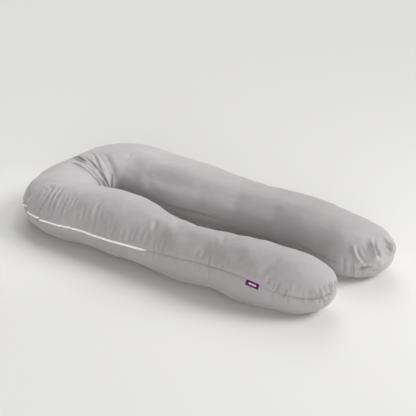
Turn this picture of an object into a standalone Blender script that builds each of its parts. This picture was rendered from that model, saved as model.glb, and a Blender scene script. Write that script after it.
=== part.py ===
"""U-shaped body pillow: a filled cover, the zip set in its edge seam and a woven tag.

Metres, +Z up. The pillow lies on z = 0, with the origin under the middle of its
overall box. Both arms run along X: the bend is at -X and the tips at +X, the near
arm at -Y and the far arm at +Y.

The filled cover is one loft along the centre line of the U. A point of its surface
is found by a place and an angle. The place counts stretches of the centre line:
-1 to 0 is the near tip, 0 to 1 the near arm, 1 to 2 the bend, 2 to 3 the far arm
and 3 to 4 the far tip. The angle goes round the section in degrees: 0 faces the
inside of the U, 90 is the crown, 180 the outside and 270 the underside. The seam
that joins the upper and the lower panel runs along 180, round both tips and back
along 0.
"""

import bmesh
import bpy
import numpy as np

MM = 0.001

# Driving sizes
BEND_RADIUS = 187 * MM
BEND_CENTRE_X = -315 * MM
ARM_RUN = 880 * MM
NEAR_TIP = 170 * MM
FAR_TIP = 176 * MM
ARM_WIDTH = 230 * MM
ARM_HEIGHT = 180 * MM

# Form of a section: level of its widest point, squareness, and sag of the filling below that
# level. On the inside of the U the cover is rounder underneath, but not near the tips: the
# rounder form reaches SAG_REACH places each way from the middle of the bend, with a soft end.
WIDEST_LEVEL = 0.47
ROUNDNESS = 0.88
MIDDLE_OF_BEND = 1.5
SAG_INSIDE = 1.06
SAG_REACH = 1.45
SAG_FADE = 0.4
TIP_REACH = 0.95
TIP_POLE = 0.02

# Sections along the pillow, uneven as its filling is:
# place, drift outwards in mm, width and height as shares of the arm's, roll in degrees
SECTIONS = [
    (0.00, -14, 0.85, 1.00, -4),
    (0.13, 3, 0.89, 1.04, 9),
    (0.27, 5, 0.84, 0.98, 12),
    (0.42, 20, 0.84, 0.96, 12),
    (0.57, 10, 0.93, 0.97, 4),
    (0.72, 2, 1.04, 1.10, -3),
    (0.87, 2, 1.06, 1.10, -4),
    (1.00, -1, 1.11, 1.04, -4),
    (1.25, 0, 1.33, 0.95, -5),
    (1.50, -3, 1.46, 0.94, 1),
    (1.75, -4, 1.37, 1.15, 3),
    (2.00, -11, 1.18, 1.19, 6),
    (2.13, -12, 1.20, 1.15, 3),
    (2.28, -18, 1.22, 1.15, 0),
    (2.43, -4, 1.19, 1.05, -3),
    (2.58, 15, 1.13, 0.97, -1),
    (2.73, 27, 1.13, 0.97, 3),
    (2.87, 14, 1.11, 0.96, 0),
    (3.00, 0, 1.11, 0.92, 2),
]
PLACE, DRIFT, WIDTH, HEIGHT, ROLL = range(5)

# How flat the underside lies on the outside of the U: place, share (1 is just round)
OUTER_SAG = [
    (-1.00, 1.22), (0.10, 1.20), (0.17, 1.17), (0.22, 1.08), (0.28, 1.02), (0.34, 1.04),
    (0.40, 1.14), (0.47, 1.13), (0.53, 1.05), (0.62, 1.02), (0.74, 1.03), (0.82, 1.01),
    (0.93, 1.02), (1.00, 1.12), (1.08, 1.14), (1.25, 1.20), (1.50, 1.22), (4.00, 1.22),
]

# Seam: a narrow channel where the two panels are drawn in
SEAM_DEPTH = 7 * MM
SEAM_REACH = 16 * MM
SEAM_HALF_ANGLE = 2.2
SEAM_STEPS = 240

# Main folds and dents, each from its open end to the end where the cloth is gathered:
# from place and angle, to place and angle, half width in mm, depth in mm
FOLDS = [
    # creases that gather the inside of the bend
    (1.48, 102, 1.36, 18, 12, 11),
    (1.50, 122, 1.555, 84, 11, 10),
    (1.57, 96, 1.45, 6, 13, 17),
    (1.63, 100, 1.56, 8, 13, 12),
    (1.76, 78, 1.68, 8, 14, 6),
    (1.18, 50, 1.26, 8, 16, 7),
    (2.04, 70, 2.01, 20, 26, 6),
    # pleats above the zip
    (1.11, 104, 1.09, 167, 13, 10),
    (1.075, 104, 1.04, 165, 13, 8),
    (1.04, 106, 1.01, 164, 12, 6),
    (0.96, 114, 0.98, 162, 14, 4),
    # soft lumps of the filling along the arms
    (0.74, 158, 0.68, 160, 30, 4),
    (0.59, 152, 0.55, 146, 34, 5),
    (0.45, 128, 0.41, 112, 34, 6),
    (0.33, 132, 0.28, 128, 30, 5),
    (0.20, 136, 0.16, 130, 28, 4),
    (2.30, 46, 2.36, 84, 44, 5),
    (2.60, 40, 2.66, 96, 50, 7),
    # gathers of the near tip, above its seam
    (-0.32, 138, -0.25, 176, 15, 8),
    (-0.53, 130, -0.46, 176, 15, 9),
    (-0.69, 116, -0.66, 174, 15, 9),
    (-0.83, 92, -0.82, 168, 15, 8),
    # loose folds of the far tip
    (3.26, -40, 3.29, 6, 13, 8),
    (3.28, 50, 3.60, -2, 15, 11),
    (3.36, -44, 3.42, -10, 13, 7),
    (3.50, 74, 3.77, 44, 15, 9),
    (3.66, 96, 3.83, 160, 14, 7),
]
FOLD_FROM_PLACE, FOLD_FROM_ANGLE, FOLD_TO_PLACE, FOLD_TO_ANGLE, FOLD_HALF_WIDTH, FOLD_DEPTH = range(6)
FOLD_STEPS = 14
FOLD_LIP = 0.25
FOLD_TAPER = 0.4
FOLD_ALONG = (0, 0.3, 0.6, 0.85, 1)
FOLD_STRENGTH = (0.1, 0.7, 1, 0.9, 0.3)
TIP_FADE = 0.25

# Zip in the seam, round the outside of the bend
ZIP_FROM = 0.52
ZIP_TO = 2.48
ZIP_WIDTH = 7 * MM
ZIP_THICKNESS = 1.6 * MM
ZIP_CLEARANCE = 0.8 * MM

# Tag sewn into the seam of the near arm
TAG_PLACE = 0.075
TAG_LENGTH = 42 * MM
TAG_DROP = 16 * MM
TAG_THICKNESS = 1.2 * MM
TAG_CLEARANCE = 1.2 * MM
TAG_COLUMNS = 6
TAG_ROWS = 5
TAG_SIDE_POINTS = 8

# Fineness of the loft: stations from one place to the next, points round a half section
STATIONS = (
    (-1.00, 0.00, 20),
    (0.00, 0.88, 24),
    (0.88, 1.16, 18),
    (1.16, 1.34, 8),
    (1.34, 1.70, 30),
    (1.70, 2.05, 12),
    (2.05, 3.00, 26),
    (3.00, 4.00, 18),
)
POINTS_ROUND_HALF = 16

GREY = (0.40, 0.39, 0.40, 1.0)
WHITE = (0.85, 0.85, 0.86, 1.0)
PURPLE = (0.12, 0.015, 0.13, 1.0)


def signed_power(value, exponent):
    """Power that keeps the sign, for rounded-square sections."""
    return np.sign(value) * np.abs(value) ** exponent


def along_sections(column, place):
    """A column of the section table, read smoothly at any place on the body."""
    table = np.array(SECTIONS, float)
    knots, values = table[:, PLACE], table[:, column]
    slopes = np.gradient(values, knots)
    row = np.clip(np.searchsorted(knots, place) - 1, 0, len(knots) - 2)
    step = knots[row + 1] - knots[row]
    t = (place - knots[row]) / step
    start = values[row] * (2 * t**3 - 3 * t**2 + 1) + slopes[row] * step * (t**3 - 2 * t**2 + t)
    end = values[row + 1] * (3 * t**2 - 2 * t**3) + slopes[row + 1] * step * (t**3 - t**2)
    return start + end


def centre_line(place):
    """Plan positions of the centre line at places from 0 to 3."""
    turn = np.pi * np.clip(place - 1, 0, 1)
    outward = np.stack([-np.sin(turn), -np.cos(turn)], -1)
    reach = BEND_RADIUS + along_sections(DRIFT, place) * MM
    centre = outward * reach[..., None]
    straight = np.maximum(1 - place, 0) + np.maximum(place - 2, 0)
    centre[..., 0] += BEND_CENTRE_X + straight * ARM_RUN
    return centre


def surface(place, angle):
    """Points of the even filled form, before its seam and folds are drawn in."""
    place, angle = np.broadcast_arrays(np.asarray(place, float), np.asarray(angle, float))
    body = np.clip(place, 0, 3)
    step = 0.01
    ahead = centre_line(np.minimum(body + step, 3)) - centre_line(np.maximum(body - step, 0))
    ahead /= np.linalg.norm(ahead, axis=-1, keepdims=True)
    inward = np.stack([ahead[..., 1], -ahead[..., 0]], -1)

    beyond = np.radians(90 * np.clip(np.maximum(-place, place - 3), 0, 1))
    shrink = np.maximum(np.cos(beyond), 0) ** ROUNDNESS
    shrink = np.maximum(shrink, np.where(beyond > 0, TIP_POLE, 0))
    tip_length = np.where(place < 0, -NEAR_TIP, FAR_TIP)
    centre = centre_line(body) + ahead * (tip_length * np.sin(beyond) ** TIP_REACH)[..., None]

    half_width = along_sections(WIDTH, body) * ARM_WIDTH / 2
    height = along_sections(HEIGHT, body) * ARM_HEIGHT
    widest = height * WIDEST_LEVEL
    turned = np.radians(angle - along_sections(ROLL, body))
    across = half_width * shrink * signed_power(np.cos(turned), ROUNDNESS)
    rise = shrink * signed_power(np.sin(turned), ROUNDNESS)
    rounder = np.clip((SAG_REACH - np.abs(place - MIDDLE_OF_BEND)) / SAG_FADE, 0, 1) * (across > 0)
    sag = np.interp(place, [row[0] for row in OUTER_SAG], [row[1] for row in OUTER_SAG])
    sag = sag + (SAG_INSIDE - sag) * rounder
    level = widest + np.where(rise > 0, (height - widest) * rise, sag * widest * rise)
    plan = centre + inward * across[..., None]
    return np.concatenate([plan, np.maximum(level, 0)[..., None]], -1)


def to_path(points, path):
    """Distance from each point to a path, and where along it the nearest spot lies, 0 to 1."""
    nearest = np.full(len(points), np.inf)
    along = np.zeros(len(points))
    for index in range(len(path) - 1):
        start, run = path[index], path[index + 1] - path[index]
        share = np.clip((points - start) @ run / max(run @ run, 1e-12), 0, 1)
        gap = np.linalg.norm(points - start - share[:, None] * run, axis=1)
        closer = gap < nearest
        nearest = np.where(closer, gap, nearest)
        along = np.where(closer, (index + share) / (len(path) - 1), along)
    return nearest, along


def seam_path():
    """The seam as one closed path: outside, far tip, inside, near tip."""
    there = np.linspace(-1, 4, SEAM_STEPS)
    outside = surface(there, 180)
    inside = surface(there[::-1], 0)
    return np.concatenate([outside, inside, outside[:1]])


def seam_draw_in(points):
    """How far each point is drawn in by the seam."""
    gap, _ = to_path(points, seam_path())
    return SEAM_DEPTH * np.exp(-((gap / SEAM_REACH) ** 2))


def fold_depth(points, fold):
    """How far one fold draws each point in, with a low lip standing beside the trough."""
    place = np.linspace(fold[FOLD_FROM_PLACE], fold[FOLD_TO_PLACE], FOLD_STEPS)
    angle = np.linspace(fold[FOLD_FROM_ANGLE], fold[FOLD_TO_ANGLE], FOLD_STEPS)
    gap, along = to_path(points, surface(place, angle))
    half_width = fold[FOLD_HALF_WIDTH] * MM * (1 - FOLD_TAPER * along)
    offset = gap / half_width
    trough = np.exp(-(offset**2)) - FOLD_LIP * np.exp(-((offset - 1.9) ** 2) / 0.6)
    fade = np.interp(along, FOLD_ALONG, FOLD_STRENGTH)
    return fold[FOLD_DEPTH] * MM * trough * fade


def section_angles():
    """Angles of the points round a section, with the two edges of each seam channel."""
    upper = np.linspace(SEAM_HALF_ANGLE, 180 - SEAM_HALF_ANGLE, POINTS_ROUND_HALF + 2)
    return np.concatenate([upper, upper + 180])


def station_places():
    """Places of the stations, closer together round the bend and the tips."""
    runs = [np.linspace(start, end, count, endpoint=False) for start, end, count in STATIONS]
    return np.concatenate(runs + [[STATIONS[-1][1]]])


def skin(name, rings, collection):
    """A closed mesh object over a row of rings, each end closed round its middle."""
    count = len(rings[0])
    model = bmesh.new()
    rows = [[model.verts.new(point) for point in ring] for ring in rings]
    for row, following in zip(rows, rows[1:]):
        for index in range(count):
            beside = (index + 1) % count
            model.faces.new((row[index], row[beside], following[beside], following[index]))
    for row, ring in ((rows[0], rings[0]), (rows[-1], rings[-1])):
        middle = model.verts.new(np.mean(ring, axis=0))
        for index in range(count):
            model.faces.new((row[index], middle, row[(index + 1) % count]))
    bmesh.ops.recalc_face_normals(model, faces=model.faces)
    return finish_object(name, model, collection)


def finish_object(name, model, collection):
    """Turns a built mesh into a smooth-shaded object of the collection."""
    mesh = bpy.data.meshes.new(name)
    model.to_mesh(mesh)
    model.free()
    mesh.shade_smooth()
    part = bpy.data.objects.new(name, mesh)
    collection.objects.link(part)
    return part


def paint(part, name, colour, roughness):
    """Gives a part its own Principled material."""
    material = bpy.data.materials.new(name)
    material.use_nodes = True
    shader = material.node_tree.nodes["Principled BSDF"]
    shader.inputs["Base Color"].default_value = colour
    shader.inputs["Roughness"].default_value = roughness
    shader.inputs["Metallic"].default_value = 0.0
    part.data.materials.append(material)


def vertex_normals(rings):
    """Outward directions at the points of a grid of rings."""
    around = np.roll(rings, -1, axis=1) - np.roll(rings, 1, axis=1)
    lengthwise = np.gradient(rings, axis=0)
    normals = np.cross(lengthwise, around)
    return normals / np.maximum(np.linalg.norm(normals, axis=-1, keepdims=True), 1e-9)


def pillow_rings():
    """Rings of the filled cover with its seam, folds and flat underside."""
    place, angle = np.meshgrid(station_places(), section_angles(), indexing="ij")
    even = surface(place, angle)
    points = even.reshape(-1, 3)
    depth = seam_draw_in(points)
    for fold in FOLDS:
        depth = depth + fold_depth(points, fold)
    tip_fade = np.clip((1 - np.maximum(-place, place - 3)) / TIP_FADE, 0, 1).reshape(-1)
    moved = points - vertex_normals(even).reshape(-1, 3) * (depth * tip_fade)[:, None]
    moved[:, 2] = np.where(points[:, 2] > 0, np.maximum(moved[:, 2], 0), 0)
    return moved.reshape(even.shape)


def centred(rings):
    """The same rings with the middle of their box over the origin."""
    middle = (rings.min(axis=(0, 1)) + rings.max(axis=(0, 1))) / 2
    middle[2] = 0
    return rings - middle


def build_zip(rings, collection):
    """The zip: a flat strip along the floor of the seam channel, round the bend."""
    places = station_places()
    edge = POINTS_ROUND_HALF + 1
    kept = [index for index, place in enumerate(places) if ZIP_FROM <= place <= ZIP_TO]
    middle = np.array([(rings[index][edge] + rings[index][edge + 1]) / 2 for index in kept])
    across = np.array([rings[index][edge] - rings[index][edge + 1] for index in kept])
    across /= np.linalg.norm(across, axis=1, keepdims=True)
    outward = np.cross(across, np.gradient(middle, axis=0))
    outward /= np.linalg.norm(outward, axis=1, keepdims=True)
    inner = middle + outward * ZIP_CLEARANCE
    outer = inner + outward * ZIP_THICKNESS
    half = across * ZIP_WIDTH / 2
    strips = np.stack([inner - half, inner + half, outer + half, outer - half], 1)
    return skin("zip", strips, collection)


def build_tag(rings, collection):
    """The tag: a small flap that hangs from the seam and follows the arm's side."""
    places = station_places()
    edge = POINTS_ROUND_HALF + 1
    seam = np.array([(ring[edge] + ring[edge + 1]) / 2 for ring in rings])
    seam_x = np.interp(TAG_PLACE, places, seam[:, 0])
    columns = seam_x + np.linspace(-TAG_LENGTH / 2, TAG_LENGTH / 2, TAG_COLUMNS)
    drops = np.linspace(0, TAG_DROP, TAG_ROWS)
    on_arm = [index for index, place in enumerate(places) if 0 <= place <= 1]
    model = bmesh.new()
    grid = []
    for drop in drops:
        row = []
        for x in columns:
            point = arm_side(rings[on_arm], x, drop, edge)
            row.append(model.verts.new(point))
        grid.append(row)
    for upper, lower in zip(grid, grid[1:]):
        for index in range(TAG_COLUMNS - 1):
            model.faces.new((upper[index], upper[index + 1], lower[index + 1], lower[index]))
    bmesh.ops.recalc_face_normals(model, faces=model.faces)
    tag = finish_object("tag", model, collection)
    thickness = tag.modifiers.new("thickness", "SOLIDIFY")
    thickness.thickness = TAG_THICKNESS
    thickness.offset = 1
    return tag


def arm_side(rings, x, drop, edge):
    """The spot on the near arm's outer side at x, a given drop below the seam, lifted clear."""
    side = rings[:, edge:edge + TAG_SIDE_POINTS]
    profile = np.array([
        [np.interp(x, side[::-1, column, 0], side[::-1, column, axis]) for axis in range(3)]
        for column in range(side.shape[1])
    ])
    profile[0] = (profile[0] + profile[1]) / 2
    travelled = np.concatenate([[0], np.cumsum(np.linalg.norm(np.diff(profile, axis=0), axis=1))])
    spot = np.array([np.interp(drop, travelled, profile[:, axis]) for axis in range(3)])
    spot[1] -= TAG_CLEARANCE
    return spot


def main():
    """Builds the pillow, its zip and its tag."""
    for leftover in list(bpy.data.objects):
        bpy.data.objects.remove(leftover, do_unlink=True)
    collection = bpy.data.collections.new("u_shaped_body_pillow")
    bpy.context.scene.collection.children.link(collection)

    rings = centred(pillow_rings())
    pillow = skin("pillow", rings, collection)
    paint(pillow, "grey_jersey", GREY, 0.85)
    zip_strip = build_zip(rings, collection)
    paint(zip_strip, "white_zip", WHITE, 0.5)
    tag = build_tag(rings, collection)
    paint(tag, "purple_weave", PURPLE, 0.7)


main()
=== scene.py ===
"""Looks of the U-shaped body pillow: a filled jersey cover with its seam, creases and puckers,
a white coil zip round the bend and a small woven tag, on a pale floor in soft light.

A spot on the cover is named by a place and an angle. The place is -1 to 0 on the near tip,
0 to 1 on the near arm, 1 to 2 on the bend, 2 to 3 on the far arm and 3 to 4 on the far tip.
The angle is 0 on the inside of the U, 90 on the crown, 180 on the outside and 270 below.
"""

import bmesh
import bpy
import numpy as np
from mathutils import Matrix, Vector


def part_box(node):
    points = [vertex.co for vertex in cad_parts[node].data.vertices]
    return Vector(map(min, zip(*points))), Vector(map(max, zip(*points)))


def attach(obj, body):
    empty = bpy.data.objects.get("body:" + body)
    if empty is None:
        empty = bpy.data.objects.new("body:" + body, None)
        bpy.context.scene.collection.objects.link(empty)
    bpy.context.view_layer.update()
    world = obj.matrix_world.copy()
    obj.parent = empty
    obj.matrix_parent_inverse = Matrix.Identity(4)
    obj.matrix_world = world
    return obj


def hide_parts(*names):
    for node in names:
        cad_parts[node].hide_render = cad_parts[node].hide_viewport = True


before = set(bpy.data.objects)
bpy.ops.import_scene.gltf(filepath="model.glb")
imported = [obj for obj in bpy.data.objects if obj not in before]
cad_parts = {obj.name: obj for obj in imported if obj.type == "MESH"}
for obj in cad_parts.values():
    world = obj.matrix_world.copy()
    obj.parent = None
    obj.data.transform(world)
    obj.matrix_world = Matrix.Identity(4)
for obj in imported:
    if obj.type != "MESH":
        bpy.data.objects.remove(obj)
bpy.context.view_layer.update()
MM = 0.001

# ---------------------------------------------------------------- form of the pillow
BEND_RADIUS = 187 * MM
BEND_CENTRE_X = -315 * MM
ARM_RUN = 880 * MM
NEAR_TIP = 170 * MM
FAR_TIP = 176 * MM
ARM_WIDTH = 230 * MM
ARM_HEIGHT = 180 * MM
WIDEST_LEVEL = 0.47
ROUNDNESS = 0.88
SAG_INSIDE = 1.06
SAG_REACH = 1.45
SAG_FADE = 0.4
MIDDLE_OF_BEND = 1.5
TIP_REACH = 0.95
TIP_POLE = 0.02
TIP_FADE = 0.12
# Taken off every point, so that the part's box stands over the origin
MIDDLE = np.array([0.0383, 0.0142, 0.0])
# Steps of place and of degrees over which directions of the form are read
PLACE_STEP = 0.004
ANGLE_STEP = 0.6
RUN_STEP = 0.01

# Sections of the form: place, drift outwards in mm, width and height as shares of the arm's, and
# roll in degrees
SECTIONS = [
    (0.00, -14, 0.85, 1.00, -4), (0.13, 3, 0.89, 1.04, 9), (0.27, 5, 0.84, 0.98, 12),
    (0.42, 20, 0.84, 0.96, 12), (0.57, 10, 0.93, 0.97, 4), (0.72, 2, 1.04, 1.10, -3),
    (0.87, 2, 1.06, 1.10, -4), (1.00, -1, 1.11, 1.04, -4), (1.25, 0, 1.33, 0.95, -5),
    (1.50, -3, 1.46, 0.94, 1), (1.75, -4, 1.37, 1.15, 3), (2.00, -11, 1.18, 1.19, 6),
    (2.13, -12, 1.20, 1.15, 3), (2.28, -18, 1.22, 1.15, 0), (2.43, -4, 1.19, 1.05, -3),
    (2.58, 15, 1.13, 0.97, -1), (2.73, 27, 1.13, 0.97, 3), (2.87, 14, 1.11, 0.96, 0),
    (3.00, 0, 1.11, 0.92, 2),
]
PLACE, DRIFT, WIDTH, HEIGHT, ROLL = range(5)

# How flat the underside lies on the outside of the U: place, share (1 is just round)
OUTER_SAG = [
    (-1.00, 1.22), (0.10, 1.20), (0.17, 1.17), (0.22, 1.08), (0.28, 1.02), (0.34, 1.04),
    (0.40, 1.14), (0.47, 1.13), (0.53, 1.05), (0.62, 1.02), (0.74, 1.03), (0.82, 1.01),
    (0.93, 1.02), (1.00, 1.12), (1.08, 1.14), (1.25, 1.20), (1.50, 1.22), (4.00, 1.22),
]

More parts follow.
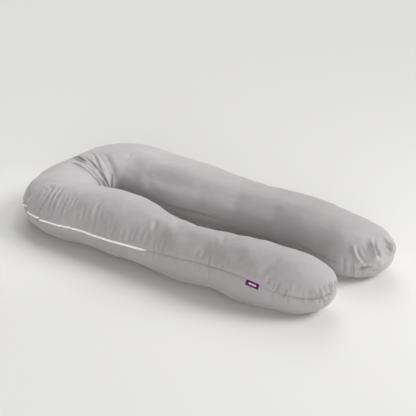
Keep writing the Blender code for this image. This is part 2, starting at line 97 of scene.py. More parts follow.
# Creases, each a smooth path of (place, angle) spots, then half width in mm, depth in mm (negative
# for a ridge), share of the lip beside it, and its strength at the first and the last spot
CREASES = [
    # inside of the bend
    (((1.500, 119), (1.525, 114), (1.543, 112), (1.553, 108), (1.555, 101), (1.548, 93),
      (1.546, 86)), 3.9, 12, 0.5, 0.4, 0.2),
    (((1.508, 105), (1.528, 101), (1.532, 95), (1.527, 89), (1.522, 82)),
      3.4, 3.5, 0.5, 0.2, 0.2),
    (((1.475, 104), (1.492, 99), (1.487, 93), (1.480, 87), (1.468, 80), (1.450, 70), (1.418, 59),
      (1.365, 47), (1.328, 35), (1.300, 20), (1.290, 4)), 4.3, 7, 0.4, 0.1, 0.5),
    (((1.502, 90), (1.492, 81), (1.475, 69), (1.445, 56), (1.415, 44), (1.385, 30), (1.370, 16),
      (1.365, 4)), 3.9, 4.5, 0.4, 0.1, 0.5),
    (((1.572, 96), (1.568, 91), (1.562, 85), (1.552, 76), (1.542, 67), (1.525, 57), (1.512, 47),
      (1.492, 33), (1.480, 18), (1.478, 4)), 4.2, 8, 0.35, 0.1, 0.5),
    (((1.628, 97), (1.618, 89), (1.600, 78), (1.577, 68), (1.550, 59), (1.527, 49)),
      4.3, 5.5, 0.4, 0.1, 0.3),
    (((1.655, 92), (1.642, 74), (1.635, 57), (1.626, 42), (1.618, 26)), 6, 2.5, 0.3, 0.1, 0.3),
    (((1.675, 86), (1.682, 72), (1.685, 58), (1.697, 43), (1.700, 28), (1.700, 10)),
      12, 4.5, 0.3, 0.1, 0.5),
    (((1.660, 40), (1.655, 27), (1.650, 12)), 4.3, 4.5, 0.4, 0.2, 0.5),
    (((1.600, 34), (1.585, 20), (1.580, 6)), 5.2, 5, 0.4, 0.1, 0.5),
    (((1.755, 60), (1.757, 40), (1.750, 22), (1.745, 8)), 14, 4, 0.25, 0.1, 0.4),
    (((1.18, 52), (1.22, 30), (1.26, 8)), 15, 6, 0.25, 0.1, 0.5),
    (((2.035, 68), (2.029, 50), (2.020, 26)), 24, 6, 0.2, 0.2, 0.3),
    (((1.640, 112), (1.622, 103), (1.608, 92)), 5.2, 2, 0.3, 0.2, 0.2),
    # pleats above the zip, the second one over the zip itself
    (((1.131, 115), (1.116, 126), (1.105, 138), (1.103, 150), (1.108, 162), (1.114, 172)),
      4.6, 9, 0.25, 0.2, 0.4),
    (((1.120, 107), (1.100, 114), (1.091, 121), (1.085, 128), (1.081, 140), (1.085, 153),
      (1.092, 164), (1.100, 173), (1.1035, 179)), 5, 22, 0.2, 0.3, 0.8),
    (((1.075, 106), (1.065, 115), (1.058, 125), (1.049, 139), (1.047, 151), (1.047, 167)),
      5, 20, 0.15, 0.2, 0.3),
    (((1.049, 106), (1.037, 118), (1.029, 132), (1.024, 146), (1.025, 166)),
      5, 18, 0.15, 0.2, 0.3),
    (((0.984, 117), (0.978, 130), (0.976, 144), (0.978, 157)), 4.3, 10, 0.25, 0.1, 0.2),
    (((0.953, 122), (0.951, 134), (0.951, 144), (0.955, 156)), 4.3, 7, 0.25, 0.1, 0.2),
    (((0.935, 120), (0.930, 132), (0.930, 143)), 4.6, 5, 0.5, 0.2, 0.2),
    (((1.188, 117), (1.205, 110), (1.208, 103), (1.171, 98), (1.125, 96)), 9, 2.2, 0.3, 0.1, 0.1),
    (((1.138, 128), (1.158, 121), (1.178, 114)), 6, 2.2, 0.3, 0.2, 0.2),
    (((1.175, 104), (1.140, 114)), 6, 1.8, 0.3, 0.2, 0.2),
    (((1.141, 129), (1.131, 143), (1.130, 157), (1.137, 171)), 11, 6, 0.3, 0.1, 0.5),
    (((1.275, 106), (1.241, 111), (1.221, 117), (1.201, 124)), 8, 2, 0.3, 0.1, 0.2),
    (((1.640, 136), (1.520, 141), (1.420, 146), (1.340, 150), (1.275, 153), (1.235, 153),
      (1.195, 153)), 22, 23, 0.05, 0.2, 0.2),
    (((1.240, 128), (1.400, 122), (1.560, 120), (1.720, 122)), 40, 3.5, 0, 0.4, 0.4),
    (((1.235, 120), (1.205, 134), (1.180, 148)), 8, 3, 0.3, 0.2, 0.4),
    # edge that stands out where the zip comes round the bend, and the tuck below it
    (((1.300, 158), (1.255, 162), (1.225, 163), (1.188, 162)), 7, -14, 0.1, 0.1, 0.3),
    (((1.230, 175), (1.205, 174), (1.186, 173)), 5, 8, 0.2, 0.4, 0.5),
    # fine folds that run up from the zip
    (((0.895, 146), (0.895, 168)), 6, 3.2, 0.3, 0.2, 0.6),
    (((1.008, 118), (1.003, 131), (1.003, 148)), 4.3, 6, 0.2, 0.1, 0.2),
    (((1.118, 118), (1.130, 110), (1.150, 106)), 5, 6.4, 0.4, 0.2, 0.2),
    (((1.128, 122), (1.146, 114)), 5, 5.6, 0.4, 0.2, 0.2),
    (((0.871, 130), (0.865, 155)), 7, 3.5, 0.3, 0.2, 0.4),
    (((0.845, 133), (0.835, 162)), 7, 3.5, 0.3, 0.2, 0.4),
    (((0.818, 116), (0.808, 145), (0.808, 171)), 8, 5.4, 0.3, 0.1, 0.6),
    (((0.793, 122), (0.785, 148)), 7, 3.5, 0.3, 0.2, 0.3),
    (((0.745, 150), (0.742, 172)), 7, 2.6, 0.3, 0.2, 0.6),
    (((0.701, 154), (0.708, 175)), 6, 3.5, 0.3, 0.2, 0.6),
    (((0.676, 158), (0.680, 175)), 6, 2.6, 0.3, 0.2, 0.6),
    (((0.651, 150), (0.654, 174)), 6, 2.6, 0.25, 0.2, 0.6),
    (((0.621, 146), (0.621, 172)), 6, 2.8, 0.25, 0.2, 0.5),
    (((0.601, 140), (0.601, 168)), 6, 2.8, 0.25, 0.2, 0.5),
    (((0.574, 130), (0.568, 161)), 7, 3.2, 0.2, 0.2, 0.4),
    (((0.545, 140), (0.540, 170)), 6, 2.6, 0.2, 0.2, 0.5),
    (((0.506, 146), (0.498, 175), (0.501, 200)), 6, 4, 0.3, 0.2, 0.3),
    (((0.556, 104), (0.540, 120), (0.524, 136)), 9, 3.5, 0.1, 0.2, 0.3),
    (((0.480, 150), (0.476, 172)), 6, 3.2, 0.3, 0.2, 0.3),
    (((0.463, 146), (0.458, 180)), 7, 3.8, 0.3, 0.2, 0.3),
    # small folds at the plain seam of the near arm
    (((0.303, 146), (0.301, 158), (0.305, 170)), 6, 3.6, 0.3, 0.2, 0.4),
    (((0.283, 150), (0.284, 170)), 6, 2.5, 0.3, 0.2, 0.4),
    (((0.264, 154), (0.264, 178)), 6, 3.6, 0.3, 0.2, 0.7),
    (((0.238, 157), (0.234, 178)), 6, 3.4, 0.3, 0.2, 0.7),
    (((0.203, 160), (0.197, 178)), 6, 3.4, 0.3, 0.2, 0.7),
    (((0.272, 184), (0.284, 204)), 6, 3.4, 0.3, 0.6, 0.2),
    (((0.254, 185), (0.262, 205)), 6, 3.4, 0.3, 0.6, 0.2),
    (((-0.012, 157), (0.004, 172)), 5, 4.8, 0.3, 0.3, 0.4),
    (((-0.054, 160), (-0.036, 174)), 5, 4.8, 0.3, 0.3, 0.4),
    (((0.022, 152), (0.021, 166)), 5, 3.4, 0.3, 0.3, 0.3),
    (((-0.150, 168), (-0.126, 179)), 6, 5.6, 0.3, 0.3, 0.5),
    (((-0.173, 177), (-0.176, 193)), 5, 3.5, 0.3, 0.5, 0.2),
    # soft lumps and dips of the filling
    (((0.90, 146), (0.85, 152)), 22, 4, 0.2, 0.3, 0.3),
    (((0.74, 158), (0.68, 160)), 30, 4, 0.2, 0.3, 0.3),
    (((0.650, 134), (0.615, 158)), 24, 5, 0.1, 0.3, 0.3),
    (((0.500, 128), (0.465, 152)), 24, 6, 0.1, 0.3, 0.3),
    (((0.405, 118), (0.375, 136)), 20, 3, 0.1, 0.3, 0.3),
    (((0.328, 134), (0.300, 156)), 24, 5.5, 0.1, 0.3, 0.3),
    (((0.170, 130), (0.130, 152)), 24, 5.5, 0.1, 0.3, 0.3),
    (((2.07, 46), (2.18, 43), (2.28, 44), (2.40, 50)), 36, 10, 0, 0.3, 0.2),
    (((2.520, 24), (2.505, 58)), 44, 4.5, 0.1, 0.3, 0.3),
    (((2.700, 28), (2.685, 62)), 40, 4, 0.1, 0.3, 0.3),
    # dips of the lower edge on the outside
    (((0.24, 224), (0.28, 227), (0.33, 226)), 15, 5, 0, 0.3, 0.3),
    (((0.53, 222), (0.62, 226), (0.71, 225)), 16, 5, 0, 0.2, 0.3),
    (((0.80, 222), (0.87, 218), (0.95, 213)), 16, 5, 0, 0.2, 0.3),
    # fold along the inside of the far arm, and its side turned under below it
    (((2.08, 8), (2.17, 5), (2.27, 2), (2.37, 1), (2.47, 1)), 6, 10, 0.15, 0.2, 0.2),
    (((2.02, -26), (2.20, -24), (2.45, -22), (2.70, -22), (2.95, -24)), 32, 22, 0, 0.3, 0.3),
    # gathers of the near tip
    (((-0.026, 159), (-0.009, 166), (0.004, 172)), 4.5, 5, 0.4, 0.3, 0.4),
    (((-0.069, 158), (-0.043, 168), (-0.013, 175)), 4.5, 4.8, 0.4, 0.3, 0.4),
    (((-0.149, 167), (-0.136, 177)), 4.5, 5.6, 0.4, 0.3, 0.5),
    (((-0.169, 176), (-0.176, 183), (-0.176, 192)), 4, 4.2, 0.4, 0.5, 0.2),
    (((-0.300, 152), (-0.290, 177)), 8, 2.8, 0.3, 0.1, 0.8),
    (((-0.370, 156), (-0.360, 178)), 7, 2.8, 0.3, 0.1, 0.8),
    (((-0.436, 156), (-0.466, 169), (-0.483, 180)), 8, 6.2, 0.35, 0.1, 0.9),
    (((-0.545, 160), (-0.556, 170), (-0.570, 181)), 4.5, 4.8, 0.4, 0.1, 0.9),
    (((-0.600, 149), (-0.640, 168), (-0.663, 182)), 5, 7, 0.4, 0.1, 0.9),
    (((-0.650, 140), (-0.720, 161), (-0.765, 180)), 5, 7.6, 0.4, 0.1, 0.9),
    (((-0.720, 130), (-0.783, 158), (-0.815, 181)), 5, 9.1, 0.45, 0.1, 0.9),
    (((-0.712, 106), (-0.798, 129), (-0.862, 157), (-0.868, 181)), 5.5, 12.6, 0.45, 0.1, 0.9),
    (((-0.775, 86), (-0.885, 68), (-0.925, 30)), 5, 8.4, 0.4, 0.1, 0.6),
    (((-0.840, 110), (-0.900, 128), (-0.930, 160)), 5, 6.3, 0.4, 0.1, 0.7),
    (((-0.600, 183), (-0.640, 198)), 5, 3.6, 0.4, 0.7, 0.2),
    (((-0.700, 184), (-0.720, 204)), 5, 4.2, 0.4, 0.7, 0.2),
    (((-0.800, 186), (-0.815, 210)), 6, 4.2, 0.4, 0.6, 0.2),
    (((-0.696, 206), (-0.696, 238)), 9, 4.2, 0.3, 0.2, 0.5),
    # loose folds of the far tip
    (((3.330, 46), (3.416, 29), (3.478, 18), (3.535, 9), (3.570, 4)), 10, -12, 0.2, 0.1, 0.4),
    (((3.380, 46), (3.480, 26), (3.553, 15), (3.623, 2)), 5, 14, 0.2, 0.1, 0.5),
    (((3.430, 50), (3.565, 31), (3.645, 12)), 6, 3, 0.3, 0.1, 0.4),
    (((3.460, 80), (3.595, 60), (3.685, 44), (3.752, 22)), 9, -12, 0.2, 0.1, 0.5),
    (((3.495, 84), (3.620, 66), (3.707, 57), (3.790, 43)), 5, 17, 0.3, 0.1, 0.3),
    (((3.530, 100), (3.640, 104), (3.715, 115), (3.745, 130)), 4.8, 11, 0.4, 0.1, 0.2),
    (((3.690, 96), (3.775, 102), (3.845, 113), (3.870, 132)), 4.8, 15, 0.4, 0.1, 0.2),
    (((3.700, 84), (3.800, 88), (3.890, 96)), 7, -4, 0.3, 0.1, 0.4),
    (((3.600, 124), (3.720, 140), (3.820, 152), (3.880, 170)), 24, -7, 0, 0.1, 0.3),
    (((3.800, 20), (3.850, 0), (3.880, -30)), 8, -4, 0.3, 0.2, 0.4),
    (((3.520, -19), (3.540, -15), (3.570, -12), (3.605, -10), (3.645, -9), (3.683, -13)),
      5, 26, 0.05, 0.6, 0.5),
    (((3.540, -5), (3.575, -1), (3.610, 0), (3.650, -1), (3.700, -8)), 6, -7, 0.1, 0.3, 0.3),
    (((3.543, 6), (3.606, 10), (3.666, 8), (3.723, -6)), 5, 4, 0.2, 0.2, 0.2),
    (((3.686, -20), (3.700, -40), (3.700, -60)), 7, 4, 0.3, 0.3, 0.3),
    (((3.286, 14), (3.285, 0), (3.272, -16), (3.240, -34)), 5.5, 7, 0.35, 0.1, 0.6),
    (((3.350, 8), (3.348, -10), (3.320, -30)), 6, -3, 0.2, 0.1, 0.4),
    (((3.416, 8), (3.414, -8), (3.395, -24), (3.350, -44)), 4.5, 10, 0.4, 0.1, 0.7),
    (((3.530, 4), (3.533, -16), (3.500, -40)), 5, 4, 0.4, 0.2, 0.5),
    (((3.600, -24), (3.590, -44), (3.540, -60)), 8, 4, 0.3, 0.2, 0.4),
]

# How far out a crease acts and where its lip stands, in half widths, and how wide that lip is
CREASE_REACH = 3.6
LIP_OFFSET = 1.9
LIP_SPREAD = 0.6
# Narrow creases are sharp and wide ones blunt: half widths in mm, exponents
CREASE_BLUNTNESS = ((5, 13), (1.15, 1.9))
# Share of a crease's length that its two ends take to fade
CREASE_FADE = (0, 0.3, 0.75, 1)

# Where the outer seam runs: place, angle
SEAM_RIDE = [
    (-1.0, 182), (-0.85, 181), (-0.5, 181.5), (-0.2, 178), (-0.05, 177), (0.03, 175.5),
    (0.065, 175.5), (0.11, 178), (0.3, 179), (0.5, 180), (0.9, 179), (1.05, 180), (1.098, 181),
    (1.106, 178.5), (1.184, 179), (1.193, 168.5), (1.215, 172.5), (1.24, 176.5), (1.30, 179),
    (1.42, 179), (1.55, 180), (4.0, 180),
]
# Where the seam droops round the far tip, from the inside to the outside
SEAM_FAR_TIP = [
    (3.00, 0), (3.25, -3), (3.42, -12), (3.52, -18), (3.576, -13), (3.633, -10), (3.672, -24),
    (3.690, -38), (3.743, -44), (3.807, -53), (3.883, -64), (3.927, -104), (3.900, -135),
    (3.870, -150), (3.837, -174), (3.70, -179), (3.40, -180), (3.00, -180),
]

# Seam: stations along it, and degrees over which the cover's points follow it
SEAM_STATIONS = 330
SEAM_FOLLOWED = 30
# Degrees above and below the seam between which the zip lies across
SEAM_SPREAD = 4

# Fineness of the cover: from one place to the next, and how many stations
STATIONS = (
    (-1.00, 0.00, 88),
    (0.00, 0.52, 122),
    (0.52, 0.93, 122),
    (0.93, 1.13, 96),
    (1.13, 1.25, 38),
    (1.25, 1.72, 124),
    (1.72, 2.10, 52),
    (2.10, 3.00, 92),
    (3.00, 4.00, 86),
)
# Points round a section: degrees from the seam, count over the crown, then the runs of the
# underside (angle where each ends, count)
BESIDE_SEAM = (0.25, 0.75, 1.5, 2.6, 4.2, 6.4, 9.0)
CROWN_POINTS = 63
UNDERSIDE = ((240, 14), (300, 6), (328, 5))
INSIDE_POINTS = 9

# The seam's valley and the stitched groove in it, in mm, and how blunt the groove is
VALLEY_DEPTH = 2.6
VALLEY_MORE_AT_ZIP = 1.2
VALLEY_WIDTH = 12
GROOVE_DEPTH = 3.2
GROOVE_DEPTH_INSIDE = 1.8
GROOVE_WIDTH = 1.8
GROOVE_BLUNTNESS = 1.4
# The slot that the zip lies in, in mm
SLOT_DEPTH = 1.8
SLOT_HALF_WIDTH = 4.1
SLOT_EDGE = 0.35
# Degrees from the seam within which its valley is worked out, and the places from which the
# far tip has the deep groove and from which all of its points are worked out
SEAM_REACH = 24
FAR_TIP_GROOVE = 2.9
FAR_TIP_SEAM = 3.4

# Rise and fall of the filling: wavelength in m, height in mm, number of waves
UNEVENNESS = (
    (0.26, 0.8, 7), (0.13, 0.8, 9), (0.07, 0.4, 11), (0.035, 0.2, 13), (0.02, 0.1, 15),
)
WAVE_GAIN = 1.4

# Puckers beside the seam: first and last place, pace along the seam and in the stretch before the
# bend, degrees from the seam, their reach in degrees, half width in mm, and depth in mm
PUCKERS_FROM = -0.85
PUCKERS_TO = 3.8
PUCKER_PACE = 0.046
PUCKER_PACE_AT_ZIP = 0.030
PUCKER_START = 1.5
PUCKER_REACH = (9, 24)
PUCKER_WIDTH = (5, 8)
PUCKER_DEPTH = (0.7, 1.9)
PUCKER_LEAN = 0.006

# The zip: where it runs, its taper at the ends, and how it lies round the corner of the bend
ZIP_FROM = 0.524
ZIP_TO = 2.48
ZIP_TAPER = 0.03
ZIP_STATIONS = 700
ZIP_WIDTH = 8.6 * MM
ZIP_CORNER = 1.225
ZIP_CORNER_LIFT = 8 * MM
ZIP_CORNER_REACH = 0.035
# Stretches where a fold covers the zip (place of the middle, half width), and its depth there
ZIP_COVERED = ((1.103, 0.0042), (1.1885, 0.004))
ZIP_COVERED_DROP = 7 * MM
TOOTH_PITCH = 2 * MM
TOOTH_HEIGHT = 0.45 * MM
# Across the zip: share of the half width, rise in mm, which row of teeth
ZIP_PROFILE = (
    (-1, 0.3, 0), (-0.92, 1.5, 0), (-0.46, 1.7, 0), (-0.28, 2.3, 1), (0, 2.1, 0),
    (0.28, 2.3, -1), (0.46, 1.7, 0), (0.92, 1.5, 0), (1, 0.3, 0),
)
# The tag, and the piece of the arm's side that it lies on: places, angles, points
TAG_LENGTH = 42 * MM
TAG_DROP = 16 * MM
TAG_THICKNESS = 1.2 * MM
TAG_CLEAR = 1.2 * MM
TAG_STAND_OFF = 2.0 * MM
TAG_COLUMNS = 16
TAG_ROWS = 10
TAG_SIDE_FROM = -0.06
TAG_SIDE_TO = 0.2
TAG_SIDE_ANGLES = (180, 206, 14)
# Row of dashes, in shares of the tag's length and drop
DASH_COUNT = 5
DASH_GAP = 0.22
DASH_HALF_LENGTH = 0.3
DASH_HALF_HEIGHT = 0.15

# Cloth simulation of the cover: how far inside it starts, how far it may move, and the height
# under which it is held
SIM_START = 0.5 * MM
SIM_CAP = 6 * MM
SIM_FLOOR = 2 * MM
SIM_PRESSURE = 4
SIM_SLACK = 0.003
SIM_FRAMES = 20
# Stations of the simulated cloth: from one place to the next, and how many
SIM_STATIONS = ((-0.98, 0, 24), (0, 1, 84), (1, 2, 84), (2, 3, 84))
SIM_TIP = (3, 3.98, 25)
SIM_COLUMNS = 72
# Grid that its result is read from
FABRIC_ROWS = 1000
FABRIC_COLUMNS = 288
SIM_CLOTH = (
    ("quality", 5),
    ("mass", 0.15),
    ("tension_stiffness", 10),
    ("compression_stiffness", 10),
    ("shear_stiffness", 3),
    ("bending_stiffness", 1.5),
    ("use_pressure", True),
    ("uniform_pressure_force", SIM_PRESSURE),
    ("shrink_min", -SIM_SLACK),
)


def signed_power(value, exponent):
    return np.sign(value) * np.abs(value) ** exponent


def read_table(knots, values, at, level_ends=False):
    """Smooth reading of a table at any place."""
    slopes = np.gradient(values, knots)
    if level_ends:
        slopes[[0, -1]] = 0
    row = np.clip(np.searchsorted(knots, at) - 1, 0, len(knots) - 2)
    step = knots[row + 1] - knots[row]
    t = (at - knots[row]) / step
    start = values[row] * (2 * t**3 - 3 * t**2 + 1) + slopes[row] * step * (t**3 - 2 * t**2 + t)
    end = values[row + 1] * (3 * t**2 - 2 * t**3) + slopes[row + 1] * step * (t**3 - t**2)
    return start + end


def along_sections(column, place):
    table = np.array(SECTIONS, float)
    return read_table(table[:, PLACE], table[:, column], place, level_ends=column != DRIFT)


def centre_line(place):
    turn = np.pi * np.clip(place - 1, 0, 1)
    outward = np.stack([-np.sin(turn), -np.cos(turn)], -1)
    reach = BEND_RADIUS + along_sections(DRIFT, place) * MM
    centre = outward * reach[..., None]
    straight = np.maximum(1 - place, 0) + np.maximum(place - 2, 0)
    centre[..., 0] += BEND_CENTRE_X + straight * ARM_RUN
    return centre


def surface(place, angle):
    """Points of the even filled form."""
    place, angle = np.broadcast_arrays(np.asarray(place, float), np.asarray(angle, float))
    body = np.clip(place, 0, 3)
    before, after = np.maximum(body - RUN_STEP, 0), np.minimum(body + RUN_STEP, 3)
    ahead = centre_line(after) - centre_line(before)
    ahead /= np.linalg.norm(ahead, axis=-1, keepdims=True)
    inward = np.stack([ahead[..., 1], -ahead[..., 0]], -1)
    beyond = np.radians(90 * np.clip(np.maximum(-place, place - 3), 0, 1))
    shrink = np.maximum(np.cos(beyond), 0) ** ROUNDNESS
    shrink = np.maximum(shrink, np.where(beyond > 0, TIP_POLE, 0))
    tip_length = np.where(place < 0, -NEAR_TIP, FAR_TIP)
    centre = centre_line(body) + ahead * (tip_length * np.sin(beyond) ** TIP_REACH)[..., None]
    half_width = along_sections(WIDTH, body) * ARM_WIDTH / 2
    height = along_sections(HEIGHT, body) * ARM_HEIGHT
    widest = height * WIDEST_LEVEL
    turned = np.radians(angle - along_sections(ROLL, body))
    across = half_width * shrink * signed_power(np.cos(turned), ROUNDNESS)
    rise = shrink * signed_power(np.sin(turned), ROUNDNESS)
    rounder = np.clip((SAG_REACH - np.abs(place - MIDDLE_OF_BEND)) / SAG_FADE, 0, 1) * (across > 0)
    flat = np.array(OUTER_SAG)
    sag = np.interp(place, flat[:, 0], flat[:, 1])
    sag = sag + (SAG_INSIDE - sag) * rounder
    level = widest + np.where(rise > 0, (height - widest) * rise, sag * widest * rise)
    plan = centre + inward * across[..., None]
    return np.concatenate([plan, np.maximum(level, 0)[..., None]], -1) - MIDDLE


def outward(place, angle):
    """Outward directions of the even form."""
    before, after = np.maximum(place - PLACE_STEP, -1), np.minimum(place + PLACE_STEP, 4)
    lengthwise = surface(after, angle) - surface(before, angle)
    around = surface(place, angle + ANGLE_STEP) - surface(place, angle - ANGLE_STEP)
    normal = np.cross(lengthwise, around)
    return normal / np.maximum(np.linalg.norm(normal, axis=-1, keepdims=True), 1e-12)


def smooth_path(spots, steps=6):
    """Points of the form along a smooth path through (place, angle) spots."""
    spots = np.array(spots, float)
    knots = np.arange(len(spots), dtype=float)
    at = np.linspace(0, len(spots) - 1, steps * (len(spots) - 1) + 1)
    return surface(read_table(knots, spots[:, 0], at), read_table(knots, spots[:, 1], at))


def to_path(points, path):
    """Distance from each point to a path, and where along it the nearest spot lies, 0 to 1."""
    nearest = np.full(len(points), np.inf)
    along = np.zeros(len(points))
    for index in range(len(path) - 1):
        start, run = path[index], path[index + 1] - path[index]
        share = np.clip((points - start) @ run / max(run @ run, 1e-12), 0, 1)
        gap = np.linalg.norm(points - start - share[:, None] * run, axis=1)
        closer = gap < nearest
        nearest = np.where(closer, gap, nearest)
        along = np.where(closer, (index + share) / (len(path) - 1), along)
    return nearest, along


def crease_depth(points, crease):
    """How far one crease draws each point in, with a low lip standing beside it."""
    spots, half_width, depth, lip, first, last = crease
    path = smooth_path(spots)
    reach = CREASE_REACH * half_width * MM
    near = np.all((points > path.min(0) - reach) & (points < path.max(0) + reach), axis=1)
    drawn = np.zeros(len(points))
    if not near.any():
        return drawn
    gap, along = to_path(points[near], path)
    offset = gap / (half_width * MM)
    bluntness = np.interp(half_width, *CREASE_BLUNTNESS)
    beside = np.exp(-((offset - LIP_OFFSET) ** 2) / LIP_SPREAD)
    trough = np.exp(-(offset**bluntness)) - lip * beside
    fade = np.interp(along, CREASE_FADE, (first, 1, 1, last))
    drawn[near] = depth * MM * trough * fade
    return drawn


def seam_angle(place):
    """Where the outer seam runs: it rides up for a short way where the zip comes round the bend."""
    ride = np.array(SEAM_RIDE, float)
    return np.interp(place, ride[:, 0], ride[:, 1])


def seam_path():
    """The whole seam: outside from the near tip, round the far tip, and back along the inside."""
    there = np.linspace(-1, 3, SEAM_STATIONS)
    tip = smooth_path(SEAM_FAR_TIP, 5)[::-1]
    return np.concatenate([surface(there, seam_angle(there)), tip[1:], surface(there[::-1], 0)])


def covered_share(place):
    """1 where a fold of the cover lies over the zip, 0 elsewhere."""
    over = np.zeros_like(place)
    for centre, half in ZIP_COVERED:
        over = np.maximum(over, np.clip(1.5 - np.abs(place - centre) / half, 0, 1))
    return over


def zip_share(place):
    """1 along the zip, falling to 0 at its two ends."""
    return np.clip(np.minimum(place - ZIP_FROM, ZIP_TO - place) / ZIP_TAPER, 0, 1)


def open_share(place):
    """1 where the zip shows in the seam, 0 where the seam is closed over it."""
    return zip_share(place) * (1 - covered_share(place))


def seam_draw_in(points, place, angle):
    """The narrow valley at the seam, and the fine groove of the stitched line in it."""
    outer = np.cos(np.radians(angle)) < 0
    level = np.abs((angle - np.where(outer, seam_angle(place) - 180, 0) + 90) % 180 - 90)
    close = (level < SEAM_REACH) | (place > FAR_TIP_SEAM)
    gap = np.full(len(points), 1.0)
    gap[close] = to_path(points[close], seam_path())[0]
    zipped = zip_share(place) * outer
    shown = open_share(place) * outer
    valley_depth = VALLEY_DEPTH + VALLEY_MORE_AT_ZIP * zipped
    valley = valley_depth * np.exp(-((gap / (VALLEY_WIDTH * MM)) ** 2))
    groove_depth = np.where(outer | (place > FAR_TIP_GROOVE), GROOVE_DEPTH, GROOVE_DEPTH_INSIDE)
    stitched = np.exp(-((gap / (GROOVE_WIDTH * MM)) ** GROOVE_BLUNTNESS))
    groove = (1 - shown) * groove_depth * stitched
    beyond = np.minimum((gap - SLOT_HALF_WIDTH * MM) / (SLOT_EDGE * MM), 60)
    slot = shown * SLOT_DEPTH / (1 + np.exp(beyond))
    return (valley + groove + slot) * MM


def unevenness(points):
    """Slow rise and fall of the filling under the cover."""
    rng = np.random.default_rng(7)
    rise = np.zeros(len(points))
    for wavelength, height, count in UNEVENNESS:
        for _ in range(count):
            direction = rng.normal(size=3)
            direction *= 2 * np.pi / wavelength / np.linalg.norm(direction)
            wave = np.sin(points @ direction + rng.uniform(0, 2 * np.pi))
            rise += height / np.sqrt(count) * WAVE_GAIN * wave
    return rise * MM


def seam_puckers():
    """Short shallow gathers on both sides of the seam, all the way round."""
    rng = np.random.default_rng(11)
    rows = []
    for seam, side in ((180, -1), (180, 1), (0, 1), (0, -1)):
        place = PUCKERS_FROM
        while place < PUCKERS_TO:
            pace = PUCKER_PACE_AT_ZIP if 0.5 < place < 1 else PUCKER_PACE
            place += pace * rng.uniform(0.6, 1.7) * (0.75 if 1 < place < 2 else 1)
            out_of_sight = (seam == 180 and place > 1.35) or (seam == 0 and place < 1.2)
            share = 1.5 if out_of_sight else 0.8
            start = (seam_angle(place) if seam == 180 else 0) + side * PUCKER_START
            reach = side * rng.uniform(*PUCKER_REACH)
            lean = rng.normal() * PUCKER_LEAN
            half_way = (place + lean, start + reach / 2)
            end = (place + 1.6 * lean, start + reach)
            half_width, depth = rng.uniform(*PUCKER_WIDTH), share * rng.uniform(*PUCKER_DEPTH)
            rows.append((((place, start), half_way, end), half_width, depth, 0.3, 0.8, 0.1))
    return rows


def resample(field, knots, at):
    """Smooth reading of a grid of values along its first axis."""
    slopes = np.gradient(field, knots, axis=0)
    row = np.clip(np.searchsorted(knots, at) - 1, 0, len(knots) - 2)
    step = (knots[row + 1] - knots[row])[:, None, None]
    t = ((at - knots[row]) / (knots[row + 1] - knots[row]))[:, None, None]
    start = field[row] * (2 * t**3 - 3 * t**2 + 1) + slopes[row] * step * (t**3 - 2 * t**2 + t)
    end = field[row + 1] * (3 * t**2 - 2 * t**3) + slopes[row + 1] * step * (t**3 - t**2)
    return start + end


class Fabric:
    """How far the cloth simulation moved the cover, readable at any place and angle."""

    def __init__(self, places, angles, moved):
        wrapped = np.concatenate([moved, moved[:, :1]], axis=1)
        along = resample(wrapped, places, np.linspace(-1, 4, FABRIC_ROWS + 1))
        full_turn = np.linspace(0, 360, FABRIC_COLUMNS + 1)
        around = resample(along.transpose(1, 0, 2), np.append(angles, 360), full_turn)
        self.field = around.transpose(1, 0, 2)

    def read(self, place, angle):
        row = np.clip((place + 1) / 5 * FABRIC_ROWS, 0, FABRIC_ROWS - 0.001)
        column = np.mod(angle, 360) / 360 * FABRIC_COLUMNS
        line, step = row.astype(int), np.minimum(column.astype(int), FABRIC_COLUMNS - 1)
        u, v = (row - line)[..., None], (column - step)[..., None]
        field = self.field
        near = field[line, step] * (1 - v) + field[line, step + 1] * v
        far = field[line + 1, step] * (1 - v) + field[line + 1, step + 1] * v
        return near * (1 - u) + far * u


def simulate_fabric():
    """Fills the cover as loose cloth held along its seam, and returns how far it moved."""
    runs = [np.linspace(start, end, count, endpoint=False) for start, end, count in SIM_STATIONS]
    places = np.concatenate(runs + [np.linspace(*SIM_TIP)])
    angles = np.arange(SIM_COLUMNS) * 360 / SIM_COLUMNS
    place, angle = np.meshgrid(places, angles, indexing="ij")
    even = surface(place, angle)
    start = even - outward(place, angle) * SIM_START * np.where(even[..., 2:] > MM, 1, 0)
    trial = grid_mesh("fabric_trial", start)
    held = trial.vertex_groups.new(name="held")
    level = np.minimum(angle % 180, 180 - angle % 180).reshape(-1)
    low = even[..., 2].reshape(-1) < SIM_FLOOR
    for index in range(len(level)):
        held.add([index], 1.0 if level[index] < 1 or low[index] else 0.0, "REPLACE")
    cloth = trial.modifiers.new("cloth", "CLOTH")
    settings = cloth.settings
    for setting, value in SIM_CLOTH:
        setattr(settings, setting, value)
    settings.effector_weights.gravity = 0
    settings.vertex_group_mass = "held"
    cloth.point_cache.frame_start = 1
    cloth.point_cache.frame_end = SIM_FRAMES
    for number in range(1, SIM_FRAMES + 1):
        bpy.context.scene.frame_set(number)
    filled = trial.evaluated_get(bpy.context.evaluated_depsgraph_get())
    flat = np.empty(len(filled.data.vertices) * 3)
    filled.data.vertices.foreach_get("co", flat)
    flat = flat.reshape(-1, 3)[:start.shape[0] * start.shape[1]].reshape(start.shape)
    bpy.data.objects.remove(trial)
    bpy.context.scene.frame_set(1)
    moved = flat - start
    size = np.linalg.norm(moved, axis=-1, keepdims=True)
    moved = moved * np.minimum(1, SIM_CAP / np.maximum(size, 1e-9))
    return Fabric(places, angles, moved + start - even)


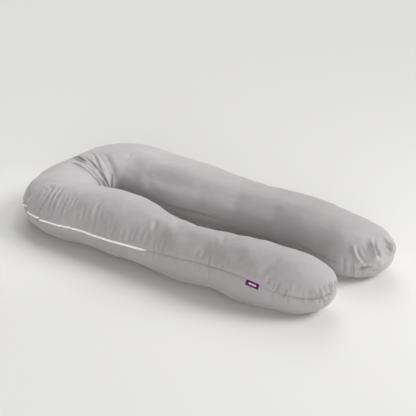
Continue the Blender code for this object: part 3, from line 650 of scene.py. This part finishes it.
def cover_points(place, angle):
    """Points of the finished cover at a grid of places and angles."""
    even = surface(place, angle)
    points = even.reshape(-1, 3)
    flat_place, flat_angle = place.reshape(-1), angle.reshape(-1)
    depth = seam_draw_in(points, flat_place, flat_angle)
    for crease in CREASES + PUCKERS:
        depth = depth + crease_depth(points, crease)
    tip_fade = np.clip((1 - np.maximum(-place, place - 3)) / TIP_FADE, 0, 1).reshape(-1)
    depth = depth * tip_fade - unevenness(points)
    moved = points - outward(place, angle).reshape(-1, 3) * depth[:, None]
    if fabric is not None:
        moved = moved + fabric.read(flat_place, flat_angle)
    moved[:, 2] = np.where(points[:, 2] > 0, np.maximum(moved[:, 2], 0), 0)
    return moved.reshape(even.shape)


def section_angles():
    beside = np.array(BESIDE_SEAM)
    last = beside[-1]
    crown = np.linspace(last, 180 - last, CROWN_POINTS)[1:-1]
    runs = [[0], beside, crown, 180 - beside[::-1], [180], 180 + beside]
    start = 180 + last
    for end, count in UNDERSIDE:
        runs.append(np.linspace(start, end, count)[1:])
        start = end
    runs.append(np.linspace(start, 360 - last, INSIDE_POINTS)[1:-1])
    runs.append(360 - beside[::-1])
    return np.concatenate(runs)


def station_places():
    runs = [np.linspace(start, end, count, endpoint=False) for start, end, count in STATIONS]
    return np.concatenate(runs + [[STATIONS[-1][1]]])


def grid_mesh(name, rows, closed=True, capped=True, weave=None):
    """A mesh object over rows of points; closed joins each row into a ring."""
    count = len(rows[0])
    model = bmesh.new()
    made = [[model.verts.new(point) for point in row] for row in rows]
    spans = count if closed else count - 1
    layer = model.loops.layers.uv.new("weave") if weave is not None else None
    for index, (row, following) in enumerate(zip(made, made[1:])):
        for column in range(spans):
            beside = (column + 1) % count
            face = model.faces.new((row[column], row[beside], following[beside], following[column]))
            if layer is not None:
                upper, lower = weave[index], weave[index + 1]
                corners = (upper[column], upper[column + 1], lower[column + 1], lower[column])
                for loop, corner in zip(face.loops, corners):
                    loop[layer].uv = corner
    if capped:
        for row, points in ((made[0], rows[0]), (made[-1], rows[-1])):
            middle = model.verts.new(np.mean(points, axis=0))
            for column in range(count):
                model.faces.new((row[column], middle, row[(column + 1) % count]))
    bmesh.ops.recalc_face_normals(model, faces=model.faces)
    mesh = bpy.data.meshes.new(name)
    model.to_mesh(mesh)
    model.free()
    mesh.shade_smooth()
    made_object = bpy.data.objects.new(name, mesh)
    bpy.context.scene.collection.objects.link(made_object)
    return made_object


# ---------------------------------------------------------------- materials
def new_material(name):
    material = bpy.data.materials.new(name)
    material.use_nodes = True
    tree = material.node_tree
    return material, tree, tree.nodes["Principled BSDF"]


def two_tone(tree, scale, dark, light):
    """Noise that runs between two tones of a colour; gives the noise and the ramp."""
    where = tree.nodes.new("ShaderNodeTexCoord")
    noise = tree.nodes.new("ShaderNodeTexNoise")
    noise.inputs["Scale"].default_value = scale
    tree.links.new(where.outputs["Object"], noise.inputs["Vector"])
    ramp = tree.nodes.new("ShaderNodeValToRGB")
    ramp.color_ramp.elements[0].color = dark
    ramp.color_ramp.elements[1].color = light
    tree.links.new(noise.outputs["Fac"], ramp.inputs["Fac"])
    return noise, ramp


def add_bump(tree, shader, height, strength, distance):
    bump = tree.nodes.new("ShaderNodeBump")
    bump.inputs["Strength"].default_value = strength
    bump.inputs["Distance"].default_value = distance
    tree.links.new(height, bump.inputs["Height"])
    tree.links.new(bump.outputs["Normal"], shader.inputs["Normal"])


def weave_coordinates(tree):
    """Lengths along and across the cloth, kept with the mesh."""
    weave = tree.nodes.new("ShaderNodeUVMap")
    weave.uv_map = "weave"
    return weave.outputs["UV"]


def cover_material():
    """Fine grey jersey: a knit of small columns, with slightly uneven dye and a soft sheen."""
    material, tree, shader = new_material("grey_jersey_knit")
    patches, colour = two_tone(tree, 11, (0.376, 0.356, 0.360, 1), (0.420, 0.397, 0.402, 1))
    patches.inputs["Detail"].default_value = 3
    colour.color_ramp.elements[0].position = 0.3
    colour.color_ramp.elements[1].position = 0.7
    tree.links.new(colour.outputs["Color"], shader.inputs["Base Color"])
    shader.inputs["Roughness"].default_value = 0.82
    shader.inputs["Specular IOR Level"].default_value = 0.25
    shader.inputs["Sheen Weight"].default_value = 0.3
    shader.inputs["Sheen Roughness"].default_value = 0.5
    knit = tree.nodes.new("ShaderNodeTexVoronoi")
    knit.inputs["Scale"].default_value = 700
    tree.links.new(weave_coordinates(tree), knit.inputs["Vector"])
    add_bump(tree, shader, knit.outputs["Distance"], 0.25, 0.4 * MM)
    return material


def zip_material():
    """White woven tape."""
    material, tree, shader = new_material("white_zip_tape")
    threads, colour = two_tone(tree, 900, (0.96, 0.96, 0.96, 1), (0.99, 0.99, 0.99, 1))
    tree.links.new(colour.outputs["Color"], shader.inputs["Base Color"])
    add_bump(tree, shader, threads.outputs["Fac"], 0.3, 0.3 * MM)
    shader.inputs["Roughness"].default_value = 0.6
    return material


def combined(tree, operation, first, second):
    """A math node over two numbers or sockets."""
    node = tree.nodes.new("ShaderNodeMath")
    node.operation = operation
    for socket, value in zip(node.inputs, (first, second)):
        if isinstance(value, (int, float)):
            socket.default_value = value
        else:
            tree.links.new(value, socket)
    return node.outputs[0]


def near_middle(tree, share, reach):
    """1 where a share lies within reach of a half, 0 elsewhere."""
    away = combined(tree, "ABSOLUTE", combined(tree, "SUBTRACT", share, 0.5), 0)
    return combined(tree, "LESS_THAN", away, reach)


def tag_material():
    """Purple damask weave with a plain row of pale woven dashes."""
    material, tree, shader = new_material("purple_damask")
    nodes, links = tree.nodes, tree.links
    threads, colour = two_tone(tree, 700, (0.090, 0.004, 0.085, 1), (0.125, 0.008, 0.115, 1))
    parts = nodes.new("ShaderNodeSeparateXYZ")
    links.new(weave_coordinates(tree), parts.inputs["Vector"])
    along, down = parts.outputs["X"], parts.outputs["Y"]
    from_first = combined(tree, "SUBTRACT", along, 0.5 - DASH_HALF_LENGTH)
    counted = combined(tree, "MULTIPLY", from_first, DASH_COUNT / (2 * DASH_HALF_LENGTH))
    dash = combined(tree, "GREATER_THAN", combined(tree, "FRACT", counted, 0), DASH_GAP)
    inside = near_middle(tree, along, DASH_HALF_LENGTH)
    level = near_middle(tree, down, DASH_HALF_HEIGHT)
    shown = combined(tree, "MULTIPLY", combined(tree, "MULTIPLY", dash, inside), level)
    mixed = nodes.new("ShaderNodeMixRGB")
    links.new(shown, mixed.inputs["Fac"])
    links.new(colour.outputs["Color"], mixed.inputs["Color1"])
    mixed.inputs["Color2"].default_value = (0.78, 0.72, 0.80, 1)
    links.new(mixed.outputs["Color"], shader.inputs["Base Color"])
    add_bump(tree, shader, threads.outputs["Fac"], 0.4, 0.3 * MM)
    shader.inputs["Roughness"].default_value = 0.6
    shader.inputs["Specular IOR Level"].default_value = 0.2
    return material


# ---------------------------------------------------------------- pieces
def lengths_along(path):
    """Length from the start of a path to each of its points."""
    return np.concatenate([[0], np.cumsum(np.linalg.norm(np.diff(path, axis=0), axis=1))])


def build_cover():
    places = station_places()
    angles = section_angles()
    place, angle = np.meshgrid(places, angles, indexing="ij")
    shift = (seam_angle(place) - 180) * np.exp(-(((angle - 180) / SEAM_FOLLOWED) ** 2))
    points = cover_points(place, angle + shift)
    around = np.linalg.norm(np.diff(np.concatenate([points, points[:, :1]], 1), axis=1), axis=-1)
    around = np.concatenate([np.zeros((len(places), 1)), np.cumsum(around, axis=1)], axis=1)
    middle = points.mean(axis=1)
    lengthwise = lengths_along(middle)
    weave = np.stack([np.broadcast_to(lengthwise[:, None], around.shape), around], -1)
    cover = grid_mesh("pillow_cover", points, weave=weave)
    cover.data.materials.append(cover_material())
    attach(cover, "root")
    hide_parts("pillow")


def seam_frame(places):
    """Spots on the floor of the outer seam, with their outward and upward directions."""
    seam = seam_angle(places)[:, None]
    middle = cover_points(places[:, None], seam)[:, 0]
    above = cover_points(places[:, None], seam - SEAM_SPREAD)[:, 0]
    below = cover_points(places[:, None], seam + SEAM_SPREAD)[:, 0]
    across = above - below
    across /= np.linalg.norm(across, axis=1, keepdims=True)
    outwards = np.cross(across, np.gradient(middle, axis=0))
    outwards /= np.linalg.norm(outwards, axis=1, keepdims=True)
    return middle, outwards, across


def build_zip():
    """Tape with a coil: two rows of small teeth that stand in each other's gaps."""
    places = np.linspace(ZIP_FROM, ZIP_TO, ZIP_STATIONS)
    middle, outwards, across = seam_frame(places)
    ends = np.maximum(zip_share(places), 0.15)
    lift = ZIP_CORNER_LIFT * np.exp(-(((places - ZIP_CORNER) / ZIP_CORNER_REACH) ** 2))
    lift = lift - ZIP_COVERED_DROP * covered_share(places)
    middle = middle + outwards * lift[:, None]
    travelled = lengths_along(middle)
    fine = np.arange(0, travelled[-1], TOOTH_PITCH / 4)
    values = np.concatenate([middle, outwards, across, ends[:, None]], axis=1)
    values = np.stack([np.interp(fine, travelled, column) for column in values.T], -1)
    middle, outwards, across, ends = values[:, 0:3], values[:, 3:6], values[:, 6:9], values[:, 9:10]
    tooth = TOOTH_HEIGHT * np.sin(2 * np.pi * fine / TOOTH_PITCH)[:, None]
    rows = []
    for share, rise, side in ZIP_PROFILE:
        sideways = across * ends * share * ZIP_WIDTH / 2
        rows.append(middle + sideways + outwards * (rise * MM + side * tooth))
    tape = grid_mesh("zip_tape", np.stack(rows, 1))
    tape.data.materials.append(zip_material())
    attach(tape, "root")
    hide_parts("zip")


def build_tag():
    """A ribbon tag, drawn as one thick sheet without its fold, that hangs from the seam along the
    side of the near arm.
    """
    lo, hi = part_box("tag")
    places = station_places()
    spots = places[(places > TAG_SIDE_FROM) & (places < TAG_SIDE_TO)]
    angles = np.linspace(*TAG_SIDE_ANGLES)
    place, angle = np.meshgrid(spots, angles, indexing="ij")
    side = cover_points(place, angle + seam_angle(place) - 180)
    middle_x = (lo[0] + hi[0]) / 2
    grid = []
    for x in middle_x + np.linspace(-TAG_LENGTH / 2, TAG_LENGTH / 2, TAG_COLUMNS):
        profile = np.array([
            [np.interp(x, side[::-1, column, 0], side[::-1, column, axis]) for axis in range(3)]
            for column in range(side.shape[1])])
        travelled = lengths_along(profile)
        line = []
        for drop in np.linspace(0, TAG_DROP, TAG_ROWS):
            spot = np.array([np.interp(drop, travelled, profile[:, axis]) for axis in range(3)])
            spot[1] -= TAG_CLEAR + TAG_STAND_OFF * (drop / TAG_DROP) ** 2
            line.append(spot)
        grid.append(line)
    weave = [
        [(line / (TAG_COLUMNS - 1), step / (TAG_ROWS - 1)) for step in range(TAG_ROWS)]
        for line in range(TAG_COLUMNS)]
    tag = grid_mesh("tag_weave", np.array(grid), closed=False, capped=False, weave=weave)
    thickness = tag.modifiers.new("thickness", "SOLIDIFY")
    thickness.thickness = TAG_THICKNESS
    thickness.offset = 0
    tag.data.materials.append(tag_material())
    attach(tag, "root")
    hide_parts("tag")


# ---------------------------------------------------------------- stage, light and camera
# Lengths in m and angles in degrees
FLOOR_REACH = 16
FLOOR_DROP = 0.4 * MM

# Soft lights, wide like windows: name, azimuth, elevation and width in degrees, strength
LIGHTS = (
    ("right_window", 129, 35, 33, 1.9),
    ("back_left_window", 218, 35, 33, 0.76),
    ("high_back_light", 218, 60, 33, 0.28),
    ("high_left_light", 270, 62, 33, 0.22),
    ("front_fill", 37, 12, 24, 1.55),
)
SUN_DISTANCE = 4
WORLD_STRENGTH = 0.19
LAMP_PLACE = (2.0, 0.85, 1.55)
LAMP_AIM = (0.4, 0, 0.1)
SPOT_PLACE = (-0.05, 0.32, 1.5)
SPOT_AIM = (-0.40, -0.03, 0.1)

CAMERA_AZIMUTH = 38.13
CAMERA_ELEVATION = 23.04
CAMERA_DISTANCE = 4.233
CAMERA_TARGET = (-0.0091, 0.0969, 0.0943)
HALF_VIEW = 10


def build_stage():
    model = bmesh.new()
    bmesh.ops.create_grid(model, x_segments=2, y_segments=2, size=FLOOR_REACH)
    mesh = bpy.data.meshes.new("floor")
    model.to_mesh(mesh)
    model.free()
    floor = bpy.data.objects.new("floor", mesh)
    floor.location.z = -FLOOR_DROP
    bpy.context.scene.collection.objects.link(floor)
    material, _, shader = new_material("pale_floor")
    shader.inputs["Base Color"].default_value = (0.79, 0.785, 0.775, 1)
    shader.inputs["Roughness"].default_value = 0.9
    shader.inputs["Specular IOR Level"].default_value = 0.1
    floor.data.materials.append(material)


def bearing(azimuth, elevation):
    """Unit vector towards an azimuth (0 at -Y, 90 at +X) and an elevation, in degrees."""
    turn, lift = np.radians(azimuth), np.radians(elevation)
    return Vector((np.sin(turn) * np.cos(lift), -np.cos(turn) * np.cos(lift), np.sin(lift)))


def place_light(data, where, towards):
    light = bpy.data.objects.new(data.name, data)
    light.location = where
    light.rotation_euler = (Vector(where) - Vector(towards)).to_track_quat("Z", "Y").to_euler()
    bpy.context.scene.collection.objects.link(light)


def build_light():
    world = bpy.data.worlds.new("studio")
    bpy.context.scene.world = world
    world.use_nodes = True
    backdrop = world.node_tree.nodes["Background"]
    backdrop.inputs["Color"].default_value = (1.0, 1.0, 1.0, 1)
    backdrop.inputs["Strength"].default_value = WORLD_STRENGTH
    for name, azimuth, elevation, width, strength in LIGHTS:
        data = bpy.data.lights.new(name, "SUN")
        data.angle = np.radians(width)
        data.energy = strength
        place_light(data, bearing(azimuth, elevation) * SUN_DISTANCE, (0, 0, 0))
    data = bpy.data.lights.new("lamp_by_the_tips", "AREA")
    data.shape = "DISK"
    data.size = 1.2
    data.energy = 12
    place_light(data, LAMP_PLACE, LAMP_AIM)
    data = bpy.data.lights.new("light_on_the_bend", "SPOT")
    data.spot_size = np.radians(34)
    data.spot_blend = 1
    data.shadow_soft_size = 0.35
    data.energy = 45
    place_light(data, SPOT_PLACE, SPOT_AIM)


def build_camera():
    back = bearing(CAMERA_AZIMUTH, CAMERA_ELEVATION)
    data = bpy.data.cameras.new("camera")
    data.sensor_width = 36
    data.lens = data.sensor_width / 2 / np.tan(np.radians(HALF_VIEW))
    data.clip_end = 100
    camera = bpy.data.objects.new("camera", data)
    camera.location = Vector(CAMERA_TARGET) + back * CAMERA_DISTANCE
    camera.rotation_euler = back.to_track_quat("Z", "Y").to_euler()
    bpy.context.scene.collection.objects.link(camera)
    bpy.context.scene.camera = camera


bpy.context.scene.view_settings.view_transform = "Standard"
PUCKERS = seam_puckers()
fabric = simulate_fabric()

build_camera()
build_light()
build_stage()
build_cover()
build_zip()
build_tag()
